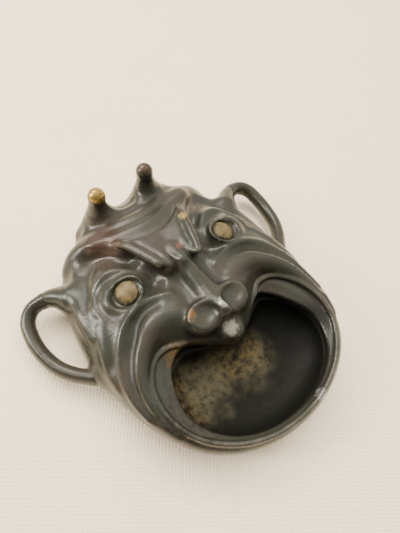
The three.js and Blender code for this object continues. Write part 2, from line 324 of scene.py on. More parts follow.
def chain_distance(place, line, radii):
    """Distance from a chain of round cones."""
    best = None
    for a, b, ra, rb in zip(line[:-1], line[1:], radii[:-1], radii[1:]):
        run = b - a
        along = sum((place[i] - a[i]) * run[i] for i in range(3)) / max(float(run @ run), 1e-9)
        along = np.clip(along, 0, 1)
        gap = np.sqrt(sum((place[i] - a[i] - along * run[i]) ** 2 for i in range(3)))
        gap = gap - (ra + (rb - ra) * along)
        best = gap if best is None else np.minimum(best, gap)
    return best.astype(np.float32)


def stroke(line, radii, fillet, cut):
    reach = float(np.max(radii)) + fillet + 2
    part, place = window(line.min(0) - reach, line.max(0) + reach)
    form = chain_distance(place, line, radii)
    clay[part] = pare(clay[part], form, fillet) if cut else melt(clay[part], form, fillet)


# %% [markdown]
# The three tools the face is made with. Each works on both sides of the face unless it is told not to.


# %% Tools: roll, groove, ball
def on_both_sides(points, sides):
    for side in sides:
        yield [(side * p[0], *p[1:]) for p in points]


def lay_roll(points, fillet=1.5, sides=(-1, 1)):
    """Each point is across, along, thickness of the roll, and how proud its crest stands."""
    for path in on_both_sides(points, sides):
        line = smooth_line(path)
        line[:, 2] = np.maximum(line[:, 2], 0.25)
        crest = height_at(line[:, :2]) + line[:, 3]
        stroke(np.column_stack([line[:, :2], crest - line[:, 2]]), line[:, 2], fillet, cut=False)


def press_groove(points, fillet=1.0, sides=(-1, 1)):
    """Each point is across, along, thickness of the tool, and how deep it goes."""
    for path in on_both_sides(points, sides):
        line = smooth_line(path)
        line[:, 2] = np.maximum(line[:, 2], 0.25)
        floor = height_at(line[:, :2]) - line[:, 3]
        stroke(np.column_stack([line[:, :2], floor + line[:, 2]]), line[:, 2], fillet, cut=True)


def ball(centre, radii, fillet=1.5, cut=False, sides=(-1, 1)):
    """An egg of clay, or a press with one; its height is its own centre's."""
    for side in sides:
        middle = (side * centre[0], centre[1], centre[2])
        reach = max(radii) + fillet + 2
        part, place = window([m - reach for m in middle], [m + reach for m in middle])
        offset = [place[i] - middle[i] for i in range(3)]
        far = np.sqrt(sum((offset[i] / radii[i]) ** 2 for i in range(3)))
        steep = np.sqrt(sum((offset[i] / radii[i] ** 2) ** 2 for i in range(3)))
        form = (far * (far - 1) / np.maximum(steep, 1e-6)).astype(np.float32)
        clay[part] = pare(clay[part], form, fillet) if cut else melt(clay[part], form, fillet)


# %% [markdown]
# ## Brow and forehead
# The brows are two thick arcs that run down into a scowl between the eyes. The sockets are pressed in
# below them first, so that the brows end up overhanging. The forehead has only soft, wide folds.

# %% Sockets, brows, forehead folds
press_groove([(36.5, 25, 5, 0.6), (34, 33, 6, 2.2), (27.5, 37, 6.5, 3.0), (20, 34, 6, 3.2),
              (15.5, 27, 5, 3.4)], 3)
press_groove([(31, 15.5, 7, 1.4), (23, 17, 8, 2.2), (14, 14, 5.5, 3.6)], 4)
lay_roll([(40.5, 25, 2.5, 0.2), (39.8, 33, 3, 0.7), (37, 39, 3.2, 1.2), (33, 43, 3.6, 1.6),
          (28, 44.4, 3.8, 1.8), (22, 42.2, 3.6, 2.1), (17.5, 37.8, 3.2, 2.5), (14, 32, 2.6, 3.0)], 3)
lay_roll([(41, 10, 2.2, 0.1), (39.6, 18, 3.4, 0.7), (37.4, 25.5, 3.6, 1.0), (33.6, 31.5, 2.8, 0.4)], 2.5)
for level, rise in ((36.5, 0.5), (42.0, 0.6), (48.0, 0.6)):
    lay_roll([(-21, level + 5, 3, 0.1), (-9, level + 1, 3.5, rise), (0, level - 0.5, 3.5, rise),
              (9, level + 1, 3.5, rise), (21, level + 5, 3, 0.1)], 3, sides=(1,))
for level in (39.6, 45.2, 51.0):
    press_groove([(-24, level + 4, 1.4, 0.1), (-11, level + 1.4, 1.8, 0.4), (0, level, 1.8, 0.4),
                  (11, level + 1.4, 1.8, 0.4), (24, level + 4, 1.4, 0.1)], 1.2, sides=(1,))
tell_height("brow crest", 22, 42)

# %% [markdown]
# ## Eyes
# Each eye is a deep-set bulge ringed by folds: a crisp outer fold, a thin upper lid that overhangs the
# eyeball, and a softer lower lid. A groove under the eye parts it from the cheek.

# %% The bulge of the eye and its outer fold
EYE_PLACE = (23.4, 15.4, 29.1)
EYE_RADIUS = 4.6
EYE_DOME = 1.5
EYE_TILT = 0.38
ball((23.4, 15.6, 25.6), (9.5, 7.8, 5.0), 2.5)
sponge(2)
lay_roll([(34.8, 12, 0.9, 0.1), (35.2, 18, 1.3, 0.6), (32, 24, 1.5, 1.0), (27, 26.4, 1.5, 1.0),
          (21.5, 25.4, 1.4, 0.8), (17, 21.6, 1.2, 0.5), (13.6, 15.5, 1.0, 0.2)], 1.4)
tell_height("eye bulge", *EYE_PLACE[:2])

# %% [markdown]
# The eye lies in a small flat disc, the white, which is tilted outward with the cheek. The lids are
# rolls along the disc's edge, so they are drawn in the disc's own plane: an upper lid close over the
# eye, and a finer lower lid that leaves more of the white to be seen.


# %% The white of the eye and its lids
WHITE_RADIUS = 6.4
WHITE_SINK = 0.3
WHITE_DEPTH = 6.0
WHITE_WINDOW = 13.0
LID_ACROSS = 7.0
LID_RISE = 0.6
LID_POINTS = 19
# How high each lid stands over the middle, its thickness, and how far it runs on past the corners.
LIDS = ((5.0, 1.0, 0.25), (-6.0, 0.75, 0.1))


def eye_plane(side, across, along, above):
    """A place given across, along and above the tilted disc that the eye lies in."""
    outward = EYE_PLACE[0] + across * math.cos(EYE_TILT) + above * math.sin(EYE_TILT)
    height = EYE_PLACE[2] - across * math.sin(EYE_TILT) + above * math.cos(EYE_TILT)
    return side * outward, EYE_PLACE[1] + along, height


def press_white(side):
    """Fill the clay up to the disc, then cut it down to the disc."""
    middle = (side * EYE_PLACE[0], *EYE_PLACE[1:])
    part, place = window([m - WHITE_WINDOW for m in middle], [m + WHITE_WINDOW for m in middle])
    off = [place[i] - middle[i] for i in range(3)]
    above = side * off[0] * math.sin(EYE_TILT) + off[2] * math.cos(EYE_TILT)
    across = side * off[0] * math.cos(EYE_TILT) - off[2] * math.sin(EYE_TILT)
    round_edge = np.sqrt(across**2 + off[1] ** 2) - WHITE_RADIUS
    filling = np.maximum(np.maximum(round_edge, above + WHITE_SINK), -WHITE_DEPTH - above)
    clay[part] = melt(clay[part], filling, 2.0)
    clay[part] = pare(clay[part], np.maximum(round_edge, -WHITE_SINK - above), 1.0)


for side in (-1, 1):
    press_white(side)
    for high, thick, past in LIDS:
        turns = np.linspace(-past, math.pi + past, LID_POINTS)
        lid = [eye_plane(side, LID_ACROSS * math.cos(t), high * math.sin(t),
                         LID_RISE * math.sin(max(t, 0))) for t in turns]
        swell = 0.55 + 0.45 * np.sin(np.linspace(0, math.pi, LID_POINTS))
        stroke(np.array(lid), thick * swell, 0.6, cut=False)
print("two eyes, each with", len(LIDS), "lids")

# %% [markdown]
# ## The scowl plate
# Between the brows lies a flat plate of flesh with three drips, drawn down over the top of the nose.
# A flat form with a crisp edge is drawn as an outline and cut off by a sloping plane.

# %% Scowl plate with its three drips
PLATE_HALF = [
    (0, 28.6), (5, 29), (9.5, 31), (13.6, 33.4), (14.2, 31), (12, 25.5), (9.8, 20), (8.2, 14.6),
    (7.4, 11.4), (5.9, 10.4), (4.7, 11.9), (3.9, 15.6), (3.2, 19.6), (2.5, 16), (1.9, 13), (1, 11.4),
    (0, 11),
]
plate_loop = smooth_line(whole_loop(PLATE_HALF), 220, closed=True)
plate_edge = plane_distance(plate_loop)[:, :, None].astype(np.float32) - 0.3
plate_top = (GZ - (36.2 - 0.17 * (GY - 12.0))) * 0.98
plate_dish = 0.7 * np.maximum(1 - np.abs(GX) / 9, 0) * np.maximum(1 - np.abs(GY - 23) / 9, 0)
plate = -melt(-plate_edge, -(plate_top + plate_dish), 1.4)
clay = melt(clay, np.maximum(plate, 26 - GZ), 0.9)
press_groove([(12.4, 33, 0.9, 0.2), (9.9, 26, 1.1, 0.7), (7.6, 19.6, 1.1, 0.8), (6, 14.6, 1.0, 0.5)], 0.6)
lay_roll([(15.4, 35, 1.4, 0.1), (13.3, 30.4, 1.7, 0.6), (11.2, 24.6, 1.8, 1.1), (9.3, 18.8, 1.8, 1.3),
          (7.8, 14, 1.7, 1.1), (6.6, 11.6, 1.5, 0.8)], 0.5)
lay_roll([(0, 21, 0.8, 0.1), (0, 17, 1.1, 0.4), (0, 12.6, 1.2, 0.5)], 0.6, sides=(1,))
tell_height("middle of the plate", 0, 23)

# %% [markdown]
# ## Nose
# The bridge comes out from under the plate as a narrow bar, with a fine ridge along its right side that
# runs on over the wing. The nostrils are wide shallow dishes that face outward, each with a rim that
# curls over the top and is open towards the lip.

# %% Bridge, wings, nostrils
NOSTRIL = (6.7, -8.4, 33.4)
NOSTRIL_RIM = (5.4, 4.0)
stroke(np.array([(0, 12, 32.2), (0, 6, 31.8), (0, 0, 31.2), (0, -6, 31.4)], float),
       np.array([2.8, 3.0, 3.3, 3.8]), 3.0, cut=False)
ball((0.8, -10.4, 32.2), (4.2, 4.4, 4.6), 1.6, sides=(1,))
ball((NOSTRIL[0], NOSTRIL[1] - 0.8, 29.6), (7.0, 6.0, 5.0), 2.2)
press_groove([(8, 11, 2.5, 0.8), (6.8, 5, 2.4, 1.0), (7.6, -0.5, 2, 0.5)], 2.4)
lay_roll([(2.6, 9, 0.7, 0.1), (2.9, 4, 0.9, 0.3), (3.4, -1, 0.9, 0.4), (5, -4.2, 0.9, 0.4),
          (8, -5.6, 0.9, 0.3)], 1.2, sides=(1,))
nostril_press = (NOSTRIL[0], NOSTRIL[1] - 1, NOSTRIL[2] + 1.6)
ball(nostril_press, (NOSTRIL_RIM[0], NOSTRIL_RIM[1] + 1, 3.0), 1.4, cut=True)
RIM_POINTS = 15
rim_turns = np.linspace(-0.7, 3.3, RIM_POINTS)
rim_swell = np.sin(np.linspace(0, math.pi, RIM_POINTS)) ** 0.5
lay_roll([(NOSTRIL[0] + NOSTRIL_RIM[0] * math.cos(t), NOSTRIL[1] + NOSTRIL_RIM[1] * math.sin(t),
           0.6 + 0.4 * swell, 0.1 + 0.9 * swell) for t, swell in zip(rim_turns, rim_swell)], 0.5)
tell_height("tip of the nose", 0.8, -10.4)

# %% [markdown]
# ## Cheeks and lips
# Folds run round the corners of the mouth like ripples: a fine rolled rim, then a full inner roll,
# a dark groove and a last flat roll along the edge of the face. Inside the rim the lip slopes in
# towards the dish.

# %% Cheek rolls, lips and their slope
lay_roll([(13, -1.6, 2.0, 0.1), (19, 0, 3.2, 0.7), (25, -0.8, 4.0, 1.5), (31.2, -5, 4.2, 1.7),
          (36, -11.6, 3.6, 1.4), (38.4, -19.1, 2.8, 1.0), (38.8, -27, 2.4, 0.6), (37, -35, 2, 0.2)], 2.5)
lay_roll([(37, 10.5, 1.8, 0.1), (40.6, 2, 2.4, 0.5), (42.4, -4, 2.2, 0.4), (43, -10, 1.8, 0.1)], 2.4)
press_groove([(17, 5.2, 1.2, 0.4), (22, 5.4, 1.6, 0.9), (27, 3.9, 2.0, 1.6), (31.6, -0.4, 2.2, 2.2),
              (35.8, -4.6, 2.2, 2.3), (39.3, -10.6, 1.9, 2.0), (41.4, -18.7, 1.6, 1.6),
              (41.4, -27, 1.3, 0.7)], 1.6)
lay_roll([(10.5, 5, 0.7, 0.1), (15, 7.4, 0.8, 0.5), (21, 8, 0.9, 0.7), (27.4, 7.2, 1.0, 0.9),
          (32.4, 4.4, 1.1, 0.9), (36.4, 0.2, 1.1, 0.9), (39.6, -4.8, 1.1, 0.8), (41.6, -11, 1.1, 0.6),
          (42.4, -18, 1.0, 0.4), (42, -25, 0.9, 0.1)], 1.0)
sponge(1)
tell_height("cheek roll", 31.2, -5)

# %% [markdown]
# The lip's own rim is a fine bead. It stands proud of the flesh only at the corners of the mouth and
# round the chin, and dies out under the nose. Inside it the lip is cut away in a slope that starts steep
# and eases off, so the height of the bead is spread out as a map of the whole mouth first.

# %% Lip bead and the slope inside it
RIM_ROLL = 1.0
RIM_PROUD = 1.6
BEVEL_DROP = 6.0
BEVEL_EASE = 5.5
BEVEL_STEEPNESS = 0.8
CORNER_FROM_MIDDLE = 13
CHIN_BELOW = -40
SMOOTHING = 13
beaded = (np.abs(lip_loop[:, 0]) > CORNER_FROM_MIDDLE) | (lip_loop[:, 1] < CHIN_BELOW)
crest = height_at(lip_loop[:, :2]) + np.where(beaded, RIM_PROUD, 0)
evenly = np.ones(SMOOTHING) / SMOOTHING
crest = np.convolve(np.pad(crest, SMOOTHING // 2, mode="wrap"), evenly, mode="valid")
rim = np.column_stack([lip_loop, crest - RIM_ROLL])
bearing = np.arctan2(GY[:, :, 0] - DISH_CENTRE_Y, GX[:, :, 0])
rim_bearing = np.arctan2(rim[:, 1] - DISH_CENTRE_Y, rim[:, 0])
order = np.argsort(rim_bearing)
crest_map = np.interp(bearing, rim_bearing[order], crest[order], period=2 * math.pi)[:, :, None]
bevel_floor = crest_map - 0.3 - BEVEL_DROP * (1 - np.exp(np.minimum(from_lip, 0) / BEVEL_EASE))
bevel = np.maximum((bevel_floor - GZ) * BEVEL_STEEPNESS, from_lip + 0.2).astype(np.float32)
clay = pare(clay, bevel, 0.5)
rim_breaks = np.flatnonzero(np.diff(np.concatenate([[0], beaded.astype(int), [0]])))
for first, last in zip(rim_breaks[::2], rim_breaks[1::2]):
    stroke(rim[first:last], np.full(last - first, RIM_ROLL), 0.5, cut=False)
ball((0.3, -18.2, 25.2), (5.0, 4.5, 3.6), 2.0, sides=(1,))
print("lip bead in", len(rim_breaks) // 2, "runs, up to", round(float(max(crest)), 1), "mm high")

# %% [markdown]
# ## Horns, ears and the way the castings part
# Horn feet and ear roots melt into the head with wide fillets, so the head's own casting keeps a short
# stub of each. Beyond the stub the horn or the loop is its own piece. The stub is a hair slimmer than
# the piece that continues it, so the joint is hidden inside that piece. The right ear was bent rounder
# at the top than the left one.

# %% Horn feet and ear roots on the lump
HORN_PLACE = (12.0, 53.4)
HORN_LEAN = 0.06
HORN_TOP = 38.4
HORN_RADIUS = 3.5
HORN_PART = 32.6
EAR_ROUTE = [
    (40, 31.5, 14), (44.5, 36, 12.6), (49.5, 38.2, 10.5), (54.2, 38, 9), (57.8, 34.5, 8), (59.4, 28, 7.5),
    (59.3, 20.5, 7.5), (57.3, 12.6, 8), (53.6, 6.2, 9), (49.3, 1.6, 10.2), (44.6, -2.4, 11.4), (40, -6, 12),
]
RIGHT_EAR_ROUTE = [
    (40, 30.6, 14), (45, 34.8, 12.6), (50.6, 37.2, 10.8), (55.8, 36.6, 9.4), (58.9, 33, 8.4),
    (59.6, 27, 7.8), *EAR_ROUTE[6:],
]
EAR_HALF_WIDTH = 2.9
EAR_HALF_DEPTH = 3.6
EAR_FLARE = 0.8
EAR_PART = 49.5
EAR_STEPS = 72
STUB_SLIMMER = 0.06
EAR_SINK = 0.9
HORN_SINK = 0.5
HORN_ZONE = 9


def horn_axis(side, height):
    return (side * (HORN_PLACE[0] - HORN_LEAN * (height - 22)), HORN_PLACE[1], height)


def ear_line(side):
    """Centre line of an ear loop and how much thicker than its middle it is along the way."""
    route = RIGHT_EAR_ROUTE if side > 0 else EAR_ROUTE
    line = smooth_line([(side * x, y, z) for x, y, z in route], EAR_STEPS)
    from_middle = np.abs(np.linspace(-1, 1, EAR_STEPS))
    return line, 1 + EAR_FLARE * np.clip((from_middle - 0.5) / 0.5, 0, 1) ** 2


def flattened_bar(line, thickness, slimmer, fillet):
    """Lay a bar of oval section on the lump: its width lies level, its depth upright."""
    global clay
    squash = EAR_HALF_WIDTH / EAR_HALF_DEPTH
    stretch = np.array((1 / squash, 1 / squash, 1))
    reach = EAR_HALF_DEPTH * thickness.max() + fillet + 3
    part, place = window(line.min(0) - reach, line.max(0) + reach)
    form = chain_distance([place[i] * stretch[i] for i in range(3)], line * stretch,
                          EAR_HALF_DEPTH * thickness) * squash + slimmer
    clay[part] = melt(clay[part], form.astype(np.float32), fillet)


for side in (-1, 1):
    foot = np.array([horn_axis(side, h) for h in (14, 20, 24, 27, 30, 34)])
    stroke(foot, np.array([6.2, 5.7, 4.9, 4.2, 3.75, HORN_RADIUS]) - STUB_SLIMMER, 7.0, cut=False)
    line, thickness = ear_line(side)
    flattened_bar(line, thickness, STUB_SLIMMER, 4.0)

# %% [markdown]
# Where a stub ends it is sunk a little, so that it disappears inside the piece that carries on.

# %% Sink and cut the stubs
by_horns = np.abs(GY - HORN_PLACE[1]) < HORN_ZONE
ear_sink = np.clip((np.abs(GX) - EAR_PART + 2) / 3, 0, 1) * EAR_SINK
horn_sink = np.where(by_horns, np.clip((GZ - HORN_PART + 3) / 3.5, 0, 1) * HORN_SINK, 0)
clay = clay + ear_sink + horn_sink
past_horn = np.where(by_horns, GZ - HORN_PART - 1, -9.0)
clay = np.maximum(clay, np.maximum(np.abs(GX) - EAR_PART - 1, past_horn)).astype(np.float32)
print("stubs cut at", EAR_PART + 1, "mm across and", HORN_PART + 1, "mm up")

# %% [markdown]
# ## Hollowing
# The back is open: the founder cored it out to leave a wall a few millimetres thick. The mouth's edge
# is cut through the face, a pocket is left under the lips for the dish, and the eyes get round sockets.

# %% Hollow back, mouth, pocket for the dish, eye sockets
WALL = 3.0
DISH_TOP = 16.2
DISH_DEPTH = 13.0
DISH_WALL = 2.4
ROOF_SLOPE = 0.55

head_reach = reach_of(head_loop, 0.0)
hollow_share = (np.hypot(GX[:, :, 0], GY[:, :, 0]) / (head_reach - WALL - 0.5))[:, :, None]
hollow_above = np.maximum(GZ - widest, 0) / (DOME_TOP - 5 - widest)
hollow_dome = evened((hollow_share / (1 - foot_inset * below)) ** shoulder + hollow_above**2 - 1)
roof_height = LIP_HEIGHT - 5 + ROOF_SLOPE * np.maximum(from_mouth - 1, 0)
hollow_roof = (GZ - roof_height) / math.hypot(1, ROOF_SLOPE)
hollow = -melt(-hollow_dome, -hollow_roof, 3.0)
dish_reach = reach_of(dish_loop, DISH_CENTRE_Y)
dish_share = (np.hypot(GX[:, :, 0], GY[:, :, 0] - DISH_CENTRE_Y) / dish_reach)[:, :, None]
cavity = evened(dish_share**3.0 + (np.maximum(DISH_TOP - GZ, 0) / DISH_DEPTH) ** 2.6 - 1)
pocket = np.maximum(cavity - DISH_WALL - 0.15, GZ - DISH_TOP)

clay = pare(clay, hollow, 0.6)
clay = np.maximum(clay, -np.maximum(from_mouth, DISH_TOP - 1 - GZ))
clay = np.maximum(np.maximum(clay, -pocket), -GZ).astype(np.float32)
ball((*EYE_PLACE[:2], EYE_PLACE[2] - 0.4), (EYE_RADIUS + 0.1, EYE_RADIUS + 0.1, 2.6), 0.3, cut=True)
casting = clay
dish = np.maximum(np.maximum(cavity - DISH_WALL, -cavity), GZ - DISH_TOP + 0.15).astype(np.float32)
print("casting volume", round(float((casting < 0).sum()) * STEP**3 / 1000, 1), "cubic centimetres")

# %% [markdown]
# ## From field to skin
# *Surface nets* turn a field into a mesh. Every grid cell that the surface passes through gets one
# point, at the mean of the places where it crosses the cell's edges; every crossed grid edge gets one
# four-sided face between the four cells round it. The result is closed and nearly all quads.


# %% Surface nets
CORNERS = [(i, j, k) for k in (0, 1) for j in (0, 1) for i in (0, 1)]
EDGES = [(0, 1), (2, 3), (4, 5), (6, 7), (0, 2), (1, 3), (4, 6), (5, 7), (0, 4), (1, 5), (2, 6), (3, 7)]


def skin(field, low, step):
    """Points in millimetres and four-sided faces of the surface where a field is zero."""
    field = np.pad(field, 1, constant_values=1.0)
    inside = field < 0
    shape = np.array(field.shape)
    tally = sum(inside[i:shape[0] - 1 + i, j:shape[1] - 1 + j, k:shape[2] - 1 + k].astype(np.int8)
                for i, j, k in CORNERS)
    crossed = (tally > 0) & (tally < 8)
    cells = np.argwhere(crossed)
    number = np.full(crossed.shape, -1)
    number[crossed] = np.arange(len(cells))
    values = [field[tuple((cells + corner).T)] for corner in CORNERS]
    total = np.zeros((len(cells), 3))
    hits = np.zeros(len(cells))
    for a, b in EDGES:
        hit = (values[a] < 0) != (values[b] < 0)
        part = np.where(hit, values[a] / np.where(hit, values[a] - values[b], 1), 0)
        start, run = np.array(CORNERS[a], float), np.subtract(CORNERS[b], CORNERS[a])
        total += np.where(hit[:, None], start + part[:, None] * run, 0)
        hits += hit
    points = (cells + total / hits[:, None] - 1) * step + low
    faces = []
    for axis in range(3):
        u, v = [other for other in range(3) if other != axis]
        lower = [slice(1, n - 1) for n in shape]
        upper = list(lower)
        lower[axis] = slice(0, shape[axis] - 1)
        upper[axis] = slice(1, shape[axis])
        here, there = inside[tuple(lower)], inside[tuple(upper)]
        at = np.argwhere(here != there)
        leaves = here[tuple(at.T)]
        at[:, u] += 1
        at[:, v] += 1
        ring = []
        for du, dv in ((1, 1), (0, 1), (0, 0), (1, 0)):
            cell = at.copy()
            cell[:, u] -= du
            cell[:, v] -= dv
            ring.append(number[tuple(cell.T)])
        ring = np.stack(ring, 1)
        outward = leaves if axis != 1 else ~leaves
        faces.append(np.where(outward[:, None], ring, ring[:, ::-1]))
    return points, np.vstack(faces)


# %% [markdown]
# The chin leans to one side, so points are moved as they become a mesh. Where the clay bends sharply is
# worked out too, and kept with each point for the finish to read. A second mark, soot with painted shade,
# darkens the lip's slope on the far side, where shade falls on that wall.

# %% Castings as meshes
CHIN_LEAN = 2.2
LEAN_STARTS = -12.0
LEAN_SETTLES = -50.0
# Where the soot and painted shade lie on the far side of the lip's slope.
SOOT_AND_SHADE_BELOW_RIM = 0.7
SOOT_AND_SHADE_FADE = 1.2
SOOT_AND_SHADE_FROM = (-2, -22)
SOOT_AND_SHADE_EDGE = (12, 8)


def leaning(points):
    """The hand-made face isn't quite even: its chin leans a little to one side."""
    share = np.clip((LEAN_STARTS - points[:, 1]) / (LEAN_STARTS - LEAN_SETTLES), 0, 1)
    points[:, 0] += CHIN_LEAN * share * share * (3 - 2 * share)
    return points


def mesh_piece(name, points, faces, smooth=True):
    mesh = bpy.data.meshes.new(name)
    mesh.from_pydata((leaning(np.array(points, float)) * MM).tolist(), [], np.asarray(faces).tolist())
    if smooth:
        mesh.shade_smooth()
    piece = bpy.data.objects.new(name, mesh)
    bpy.context.scene.collection.objects.link(piece)
    print(name, len(mesh.vertices), "points,", len(mesh.polygons), "faces")
    return piece


def ridges(field, points):
    """How sharply the surface bulges at each point: positive on ridges, negative in grooves."""
    bend = sum(np.gradient(np.gradient(field, STEP, axis=i), STEP, axis=i) for i in range(3))
    for axis in range(3):
        bend = (np.roll(bend, 1, axis) + 2 * bend + np.roll(bend, -1, axis)) / 4
    place = (points - CLAY_LOW) / STEP
    cell = np.clip(np.floor(place).astype(int), 0, counts - 2)
    part = place - cell
    total = np.zeros(len(points))
    for corner in CORNERS:
        share = np.prod([part[:, i] if corner[i] else 1 - part[:, i] for i in range(3)], axis=0)
        total += share * bend[tuple((cell + corner).T)]
    return total


def cast_piece(name, field):
    """A casting's mesh, with its ridges and grooves kept for the finish as an attribute."""
    points, faces = skin(field, CLAY_LOW, STEP)
    piece = mesh_piece(name, points, faces)
    cell = np.clip(np.round((points - CLAY_LOW) / STEP).astype(int), 0, counts - 1)
    inside_lip = np.clip((-SOOT_AND_SHADE_BELOW_RIM - from_lip[cell[:, 0], cell[:, 1], 0]) / SOOT_AND_SHADE_FADE, 0, 1)
    rightward = np.clip((points[:, 0] - SOOT_AND_SHADE_FROM[0]) / SOOT_AND_SHADE_EDGE[0], 0, 1)
    chinward = np.clip((SOOT_AND_SHADE_FROM[1] - points[:, 1]) / SOOT_AND_SHADE_EDGE[1], 0, 1)
    for label, values in (("ridge", ridges(field, points)), ("soot_and_shade", inside_lip * (rightward * chinward))):
        layer = piece.data.attributes.new(label, "FLOAT", "POINT")
        layer.data.foreach_set("value", values.astype(np.float32))
    return piece


mask = cast_piece("mask", casting)
bowl = cast_piece("dish_of_the_mouth", dish)

# %% [markdown]
# ## Ears and horns: a bar along a path
# An ear loop is an oval bar bent round a gap, and a horn is a round bar that tapers to a round tip.
# Both are one rule, a section carried along a path, so one Geometry Nodes tree makes all four. The
# path is a poly curve whose points carry the thickness as their radius.


# %% Node tree for a swept bar
BAR_INPUTS = {"Geometry": "Geometry", "Half Width": "Float", "Half Depth": "Float", "Sides": "Int",
              "Material": "Material"}
BAR_NODES = {
    "given": "NodeGroupInput", "made": "NodeGroupOutput", "upright": "GeometryNodeSetCurveNormal",
    "section": "GeometryNodeCurvePrimitiveCircle", "flatten": "GeometryNodeTransform",
    "flatness": "ShaderNodeCombineXYZ", "sweep": "GeometryNodeCurveToMesh",
    "smooth": "GeometryNodeSetShadeSmooth", "realize": "GeometryNodeRealizeInstances",
    "coat": "GeometryNodeSetMaterial", "thickness": "GeometryNodeInputRadius",
}
# From a node's output to another node's input.
BAR_LINKS = [
    ("given", "Geometry", "upright", "Curve"), ("given", "Sides", "section", "Resolution"),
    ("given", "Half Width", "flatness", "X"), ("given", "Half Depth", "flatness", "Y"),
    ("section", "Curve", "flatten", "Geometry"), ("flatness", "Vector", "flatten", "Scale"),
    ("upright", "Curve", "sweep", "Curve"), ("flatten", "Geometry", "sweep", "Profile Curve"),
    ("sweep", "Mesh", "smooth", "Geometry"), ("smooth", "Geometry", "realize", "Geometry"),
    ("realize", "Geometry", "coat", "Geometry"), ("given", "Material", "coat", "Material"),
    ("coat", "Geometry", "made", "Geometry"),
]


def swept_bar_tree():
    tree = bpy.data.node_groups.new("swept_bar", "GeometryNodeTree")
    for label, kind in BAR_INPUTS.items():
        tree.interface.new_socket(label, in_out="INPUT", socket_type="NodeSocket" + kind)
    tree.interface.new_socket("Geometry", in_out="OUTPUT", socket_type="NodeSocketGeometry")
    nodes = {label: tree.nodes.new(kind) for label, kind in BAR_NODES.items()}
    nodes["upright"].mode = "Z_UP"
    nodes["flatness"].inputs["Z"].default_value = 1
    nodes["sweep"].inputs["Fill Caps"].default_value = True
    nodes["section"].inputs["Radius"].default_value = 1
    if "Scale" in nodes["sweep"].inputs:
        tree.links.new(nodes["thickness"].outputs["Radius"], nodes["sweep"].inputs["Scale"])
    for source, output, target, socket in BAR_LINKS:
        tree.links.new(nodes[source].outputs[output], nodes[target].inputs[socket])
    return tree


bar_tree = swept_bar_tree()


def swept_bar(name, line, thickness, half_width, half_depth, material, sides=40):
    """A plain mesh of a bar along a line of points in millimetres."""
    curve = bpy.data.curves.new(name, "CURVE")
    curve.dimensions = "3D"
    spline = curve.splines.new("POLY")
    spline.points.add(len(line) - 1)
    for point, place, thick in zip(spline.points, line, thickness):
        point.co = (*(np.array(place) * MM), 1)
        point.radius = thick
    path = bpy.data.objects.new(name + "_path", curve)
    bpy.context.scene.collection.objects.link(path)
    maker = path.modifiers.new("bar", "NODES")
    maker.node_group = bar_tree
    values = {"Half Width": half_width * MM, "Half Depth": half_depth * MM, "Sides": sides,
              "Material": material}
    for item in bar_tree.interface.items_tree:
        if item.in_out == "INPUT" and item.name in values:
            maker[item.identifier] = values[item.name]
    evaluated = path.evaluated_get(bpy.context.evaluated_depsgraph_get())
    mesh = bpy.data.meshes.new_from_object(evaluated)
    mesh.name = name
    path.modifiers.remove(maker)
    bpy.data.objects.remove(path)
    piece = bpy.data.objects.new(name, mesh)
    bpy.context.scene.collection.objects.link(piece)
    print(name, len(mesh.polygons), "faces")
    return piece


# %% [markdown]
# ## Finishes: what they share
# All the bronze has one history: a brown patina, grown in clouds, rubbed bright where fingers reach and
# dirty where they don't, with a few spots of painted light and shade besides. So the clouds, the rubbing
# and the spots are three shader node groups, and each finish places them with values of its own. The groups
# read the object's own coordinates, so
# the clouds stay put on the metal wherever the viewer stands.


# %% Short hands for placing nodes
def put(tree, kind, feeds=None, **settings):
    """Place a node; feeds gives each input either a value or another node's output."""
    node = tree.nodes.new(kind)
    for name, value in settings.items():
        setattr(node, name, value)
    for name, source in (feeds or {}).items():
        if isinstance(source, bpy.types.NodeSocket):
            tree.links.new(source, node.inputs[name])
        else:
            node.inputs[name].default_value = source
    return node


def sums(tree, operation, *sources):
    """One step of arithmetic; a product is kept between 0 and 1, because products are masks."""
    step = put(tree, "ShaderNodeMath", dict(enumerate(sources)), operation=operation)
    step.use_clamp = operation == "MULTIPLY"
    return step.outputs[0]


def opposite(tree, mask):
    return sums(tree, "SUBTRACT", 1.0, mask)


def own_place(tree):
    """The object's own coordinates."""
    return tree.nodes.new("ShaderNodeTexCoord").outputs["Object"]


def noise(tree, place, scale, detail=3.0):
    return put(tree, "ShaderNodeTexNoise", {"Vector": place, "Scale": scale, "Detail": detail}).outputs[0]


def ramp(tree, value, low, high):
    """Zero below the low value, one above the high one, and an even rise between."""
    feeds = {"Value": value, "From Min": low, "From Max": high}
    return put(tree, "ShaderNodeMapRange", feeds, interpolation_type="SMOOTHSTEP").outputs[0]


def blended(tree, share, under, over):
    """One colour over another, as much of it as share says."""
    feeds = {0: share, 6: under, 7: over}
    return put(tree, "ShaderNodeMix", feeds, data_type="RGBA").outputs[2]


def shader_group(name, inputs, outputs):
    """An empty group; inputs are name, kind and first value, outputs are names of masks."""
    tree = bpy.data.node_groups.new(name, "ShaderNodeTree")
    for label, kind, value in inputs:
        tree.interface.new_socket(label, in_out="INPUT", socket_type=kind).default_value = value
    for label in outputs:
        tree.interface.new_socket(label, in_out="OUTPUT", socket_type="NodeSocketFloat")
    given = tree.nodes.new("NodeGroupInput").outputs
    made = tree.nodes.new("NodeGroupOutput").inputs
    return tree, given, made, own_place(tree)


